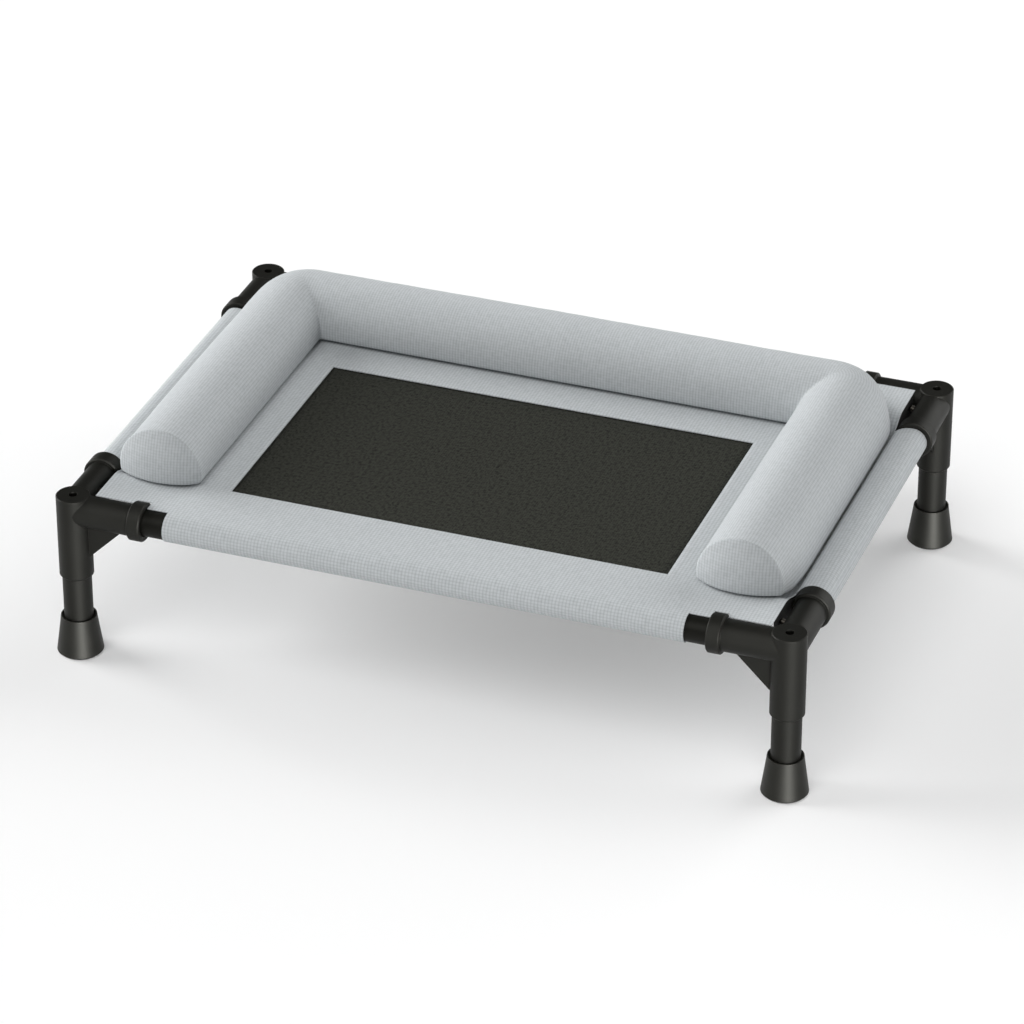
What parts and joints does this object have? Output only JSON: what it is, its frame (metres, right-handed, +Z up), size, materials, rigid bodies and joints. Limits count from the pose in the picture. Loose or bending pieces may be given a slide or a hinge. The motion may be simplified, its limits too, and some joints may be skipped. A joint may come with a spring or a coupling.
{
  "type": "raised dog cot",
  "caption": "Raised dog cot: a tube frame on legs with moulded corners, a stretched cloth deck with a mesh middle and a stuffed bolster round three sides, open to the front.",
  "frame": {"origin": "on the floor, below the middle of the frame", "axes": "+X along the length, -Y towards the open front, +Z up"},
  "size_m": [0.787, 0.547, 0.235],
  "materials": {
    "connector_plastic": "moulded, fine satin",
    "rail_steel": "powder coated, satin",
    "leg_steel": "powder coated, satin",
    "foot_rubber": "moulded, matt",
    "plug_plastic": "moulded",
    "screw_steel": "zinc plated",
    "button_steel": "blackened",
    "spring_steel": "rolled strip",
    "deck_cloth": "coarse plain weave",
    "mesh_cloth": "fine coated mesh",
    "hook_tape": "hook tape",
    "bolster_cloth": "coarse plain weave",
    "stuffing": "loose fibre",
    "loop_tape": "loop tape"
  },
  "bodies": {
    "frame": {"corner_front_left": "connector_plastic", "corner_front_right": "connector_plastic", "corner_rear_left": "connector_plastic", "corner_rear_right": "connector_plastic", "front_rail": "rail_steel", "rear_rail": "rail_steel", "left_rail": "rail_steel", "right_rail": "rail_steel", "leg_front_left": "leg_steel", "leg_front_right": "leg_steel", "leg_rear_left": "leg_steel", "leg_rear_right": "leg_steel", "foot_front_left": "foot_rubber", "foot_front_right": "foot_rubber", "foot_rear_left": "foot_rubber", "foot_rear_right": "foot_rubber", "leg_plugs": "plug_plastic", "leg_screws": "screw_steel", "spring_front_left": "spring_steel", "spring_front_right": "spring_steel", "spring_rear_left": "spring_steel", "spring_rear_right": "spring_steel", "deck_cover": "deck_cloth", "mesh_panel": "mesh_cloth", "hook_strips": "hook_tape"},
    "bolster": {"bolster_cover": "bolster_cloth", "bolster_fill_left": "stuffing", "bolster_fill_rear": "stuffing", "bolster_fill_right": "stuffing", "loop_strips": "loop_tape"},
    "button_front_left": {"button_front_left": "button_steel"},
    "button_front_right": {"button_front_right": "button_steel"},
    "button_rear_left": {"button_rear_left": "button_steel"},
    "button_rear_right": {"button_rear_right": "button_steel"}
  },
  "joints": [
    {"name": "press_front_left", "type": "slide", "parent": "frame", "child": "button_front_left", "axis": [-0.9397, 0, -0.342], "range_m": [0, 0.008], "stiffness_N_per_m": 1500, "deforming": ["spring_front_left"]},
    {"name": "press_front_right", "type": "slide", "parent": "frame", "child": "button_front_right", "axis": [0.9397, 0, -0.342], "range_m": [0, 0.008], "stiffness_N_per_m": 1500, "deforming": ["spring_front_right"]},
    {"name": "press_rear_left", "type": "slide", "parent": "frame", "child": "button_rear_left", "axis": [-0.9397, 0, -0.342], "range_m": [0, 0.008], "stiffness_N_per_m": 1500, "deforming": ["spring_rear_left"]},
    {"name": "press_rear_right", "type": "slide", "parent": "frame", "child": "button_rear_right", "axis": [0.9397, 0, -0.342], "range_m": [0, 0.008], "stiffness_N_per_m": 1500, "deforming": ["spring_rear_right"]},
    {"name": "bolster_lift", "type": "slide", "parent": "frame", "child": "bolster", "axis": [0, 0, 1], "range_m": [0, 0.15]}
  ]
}
